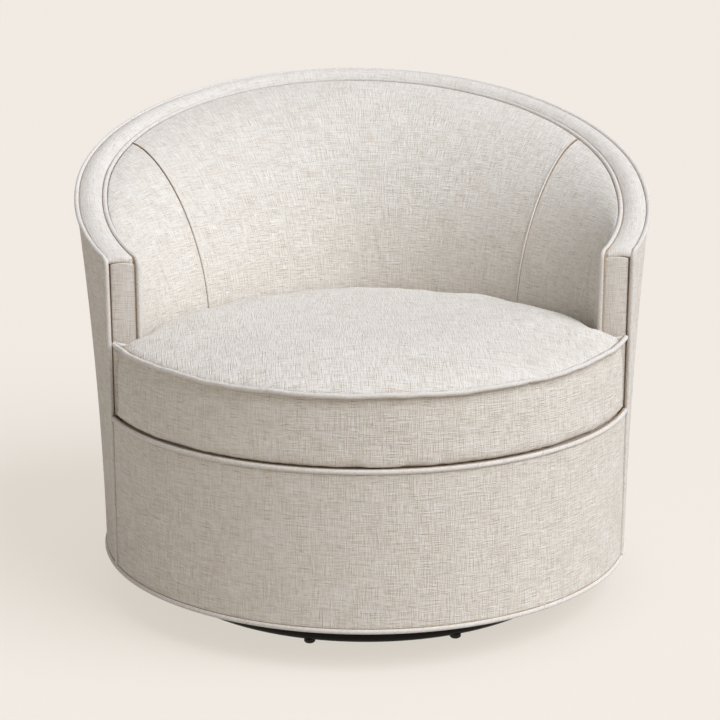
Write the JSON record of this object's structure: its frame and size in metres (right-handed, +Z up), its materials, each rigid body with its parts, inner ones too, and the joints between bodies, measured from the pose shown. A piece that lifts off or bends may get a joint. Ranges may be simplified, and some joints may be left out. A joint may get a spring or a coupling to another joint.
{
  "type": "swivel barrel chair",
  "caption": "Upholstered swivel barrel chair: round drum, tub back with welted band, loose crowned T cushion, on a black steel ring base.",
  "frame": {"origin": "centre of the chair's footprint box, on the floor under the glides", "axes": "+Z up, the chair faces -Y, +X to the left hand of a sitter"},
  "size_m": [0.872, 0.935, 0.7049],
  "materials": {
    "black_steel": "satin black powder coat",
    "glide_plastic": "matte black moulded plastic",
    "bearing_steel": "polished bearing steel",
    "zinc_steel": "zinc plated, lightly brushed",
    "plywood": "raw plywood",
    "hardwood": "raw hardwood",
    "fibreboard": "raw fibre board",
    "cambric": "thin black nonwoven cloth",
    "foam": "open upholstery foam",
    "linen": "slubby off-white linen weave",
    "linen_welt": "welt cord covered with the same linen",
    "zip_tape": "woven zip tape"
  },
  "bodies": {
    "floor_base": {"floor_ring": "black_steel", "cross_arms": "black_steel", "glides": "glide_plastic", "bottom_plate": "black_steel", "lower_race": "zinc_steel", "pivot_pin": "zinc_steel"},
    "ball_set": {"ball_cage": "zinc_steel", "bearing_balls": "bearing_steel"},
    "seat": {"top_plate": "black_steel", "spring_clips": "black_steel", "pivot_washer": "zinc_steel", "pivot_nut": "zinc_steel", "upper_race": "zinc_steel", "plate_bolts": "zinc_steel", "tee_nuts": "zinc_steel", "dust_staples": "zinc_steel", "seat_springs": "zinc_steel", "base_panel": "plywood", "drum_posts": "plywood", "deck_ring": "plywood", "front_rail": "hardwood", "back_rail": "hardwood", "back_ribs": "hardwood", "arm_posts": "hardwood", "top_rail": "hardwood", "front_board": "fibreboard", "outer_board": "fibreboard", "inner_board": "fibreboard", "dust_cover": "cambric", "deck_cloth": "cambric", "deck_pad": "foam", "outer_cover": "linen", "front_panel": "linen", "top_band": "linen", "arm_front_left": "linen", "arm_front_right": "linen", "back_pad": "linen", "arm_pad_left": "linen", "arm_pad_right": "linen", "outer_welt": "linen_welt", "inner_welt": "linen_welt", "seam_welt_left": "linen_welt", "seam_welt_right": "linen_welt", "deck_welt": "linen_welt", "hem_welt": "linen_welt"},
    "cushion": {"cushion_cover": "linen", "cushion_core": "foam", "cushion_welt": "linen_welt", "zipper_tape": "zip_tape"},
    "zipper": {"zipper_slider": "zinc_steel"}
  },
  "joints": [
    {"name": "swivel_spin", "type": "hinge", "parent": "floor_base", "child": "seat", "pos_m": [0, -0.0665, 0.044], "axis": [0, 0, 1], "continuous": true},
    {"name": "cage_spin", "type": "hinge", "parent": "floor_base", "child": "ball_set", "pos_m": [0, -0.0665, 0.044], "axis": [0, 0, 1], "continuous": true},
    {"name": "cushion_lift", "type": "slide", "parent": "seat", "child": "cushion", "axis": [0, 0, 1], "range_m": [0, 0.25]},
    {"name": "zipper_slide", "type": "slide", "parent": "cushion", "child": "zipper", "axis": [1, 0, 0], "range_m": [0, 0.356]}
  ],
  "couplings": [
    {"joint": "cage_spin", "follows": "swivel_spin", "ratio": 0.5}
  ]
}
